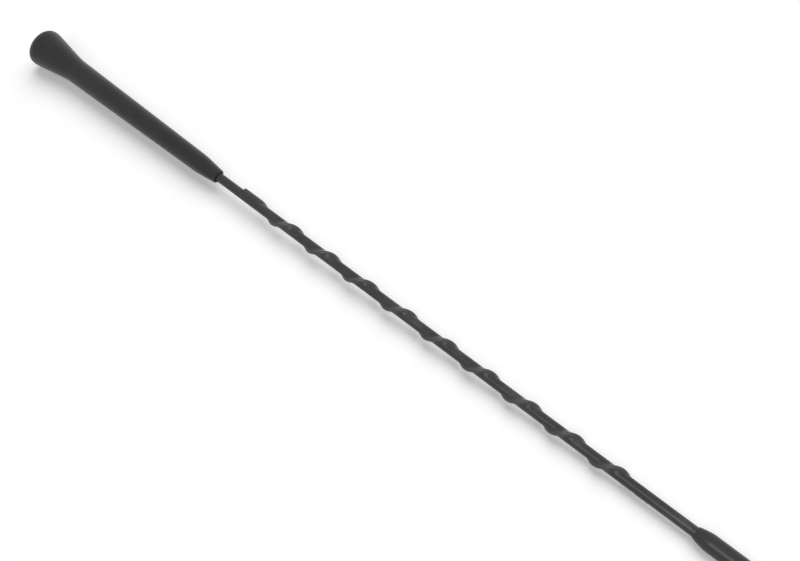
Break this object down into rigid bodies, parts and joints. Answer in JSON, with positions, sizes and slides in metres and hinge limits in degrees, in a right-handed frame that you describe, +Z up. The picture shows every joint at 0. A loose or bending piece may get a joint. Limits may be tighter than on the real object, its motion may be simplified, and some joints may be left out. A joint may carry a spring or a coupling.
{
  "type": "car mast aerial",
  "caption": "Flexible roof mast aerial: flared rubber boot with a screw-in stud, fibreglass rod with a spiral cord under a shrunk sleeve, and a tip cap.",
  "frame": {"origin": "on the floor under the middle of the lying mast's bounding box", "axes": "+X along the mast from the boot towards the tip cap, +Z up. The mast's own axis comes down by 0.74 degrees towards the tip, as it lies on its boot and its cap"},
  "size_m": [0.409, 0.0182, 0.0181],
  "materials": {
    "boot_rubber": "fine matt moulded rubber",
    "stud_steel": "zinc-plated, satin",
    "turned_brass": "turned, bright",
    "former_plastic": "moulded, matt",
    "copper_wire": "enamelled copper, satin",
    "shrink_plastic": "shrunk sleeve, satin",
    "fibreglass": "pultruded resin and glass, satin",
    "cord_plastic": "drawn cord, satin",
    "cap_plastic": "moulded, satin"
  },
  "bodies": {
    "root": {"boot": "boot_rubber", "threaded_stud": "stud_steel", "base_ferrule": "turned_brass", "coil_former": "former_plastic", "loading_coil": "copper_wire", "coil_sleeve": "shrink_plastic", "coil_collar": "turned_brass", "core_rod": "fibreglass", "radiator_wire": "copper_wire", "spiral_cord": "cord_plastic", "shrink_sleeve": "shrink_plastic", "tip_cap": "cap_plastic"}
  },
  "joints": []
}
